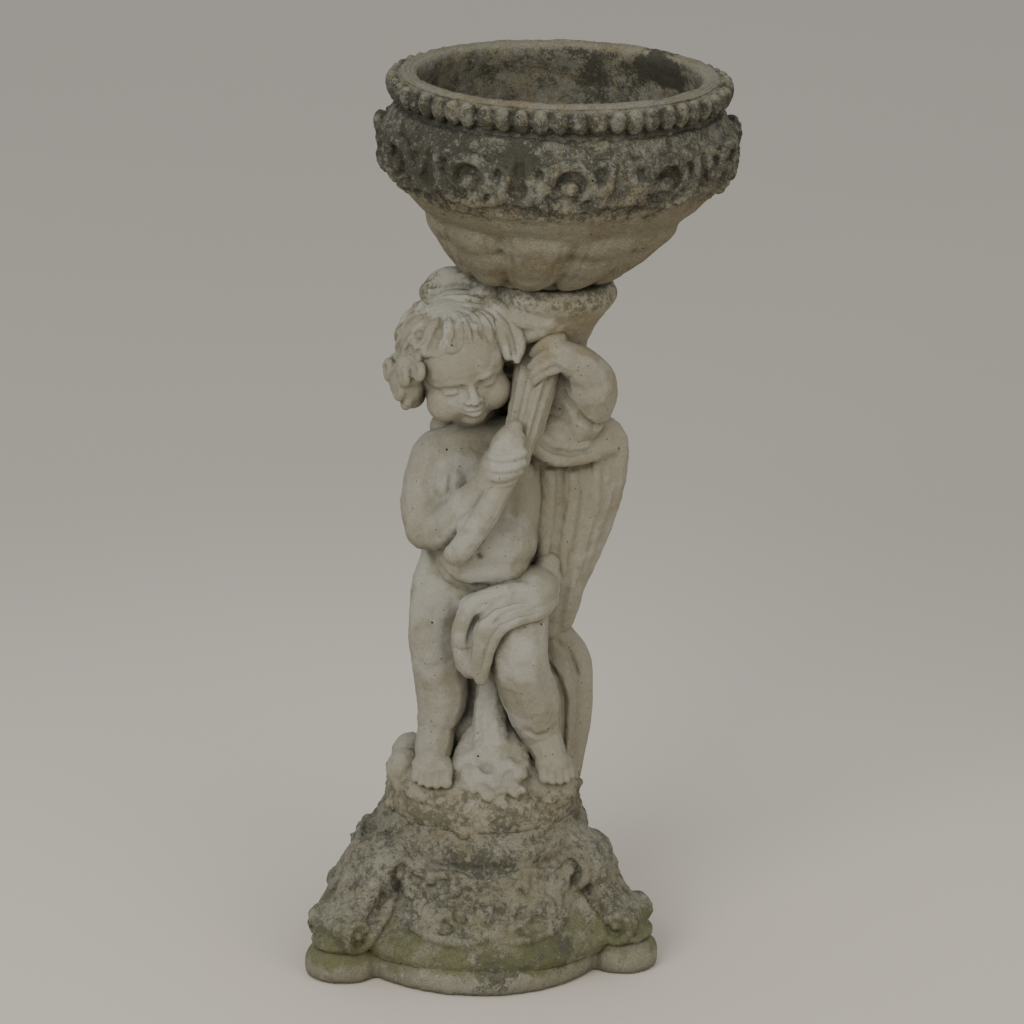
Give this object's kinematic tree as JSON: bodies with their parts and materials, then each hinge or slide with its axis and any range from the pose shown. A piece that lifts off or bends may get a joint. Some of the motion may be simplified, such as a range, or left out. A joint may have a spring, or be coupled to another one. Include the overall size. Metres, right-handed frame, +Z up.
{
  "type": "baptismal font",
  "caption": "Cast-stone font: a child on a rock mound and scrolled plinth holds a fluted horn under a round bowl with a beaded rim that lifts off its dowel.",
  "frame": {"origin": "middle of the plinth's flat underside, on the ground", "axes": "+Z up; -Y is the side the child faces; +X is the side of the cape, where the bowl stands a little off centre"},
  "size_m": [0.3587, 0.3312, 0.8],
  "materials": {
    "plinth_stone": "rough, weathered, with lichen and algae",
    "figure_stone": "rough, pale, worn smooth in places",
    "bowl_stone": "rough, mottled with grey and black lichen",
    "mortar": "rough",
    "steel": "plain round bar"
  },
  "bodies": {
    "pedestal": {"plinth_slab": "plinth_stone", "plinth_body": "plinth_stone", "plinth_drum": "plinth_stone", "scroll_foot_left": "plinth_stone", "scroll_foot_right": "plinth_stone", "scroll_foot_back": "plinth_stone", "mortar_bed": "mortar", "figure_dowel": "steel", "leg_bar": "steel", "trunk_bar": "steel", "bowl_spigot": "steel", "rock_mound": "figure_stone", "foot_rock": "figure_stone", "collar": "figure_stone", "right_leg": "figure_stone", "left_leg": "figure_stone", "torso": "figure_stone", "head": "figure_stone", "hair": "figure_stone", "right_arm": "figure_stone", "right_hand": "figure_stone", "left_arm": "figure_stone", "left_hand": "figure_stone", "horn": "figure_stone", "horn_stay": "figure_stone", "horn_tail": "figure_stone", "loincloth": "figure_stone", "cape": "figure_stone", "back_cloth": "figure_stone", "drape_end": "figure_stone", "tree_stump": "figure_stone", "head_pad": "figure_stone"},
    "bowl": {"bowl_shell": "bowl_stone", "rim_wire": "steel", "bead_rim": "bowl_stone", "scroll_band": "bowl_stone", "leaf_lobes": "bowl_stone"}
  },
  "joints": [
    {"name": "bowl_lift", "type": "slide", "parent": "pedestal", "child": "bowl", "axis": [0, 0, 1], "range_m": [0, 0.12]}
  ]
}
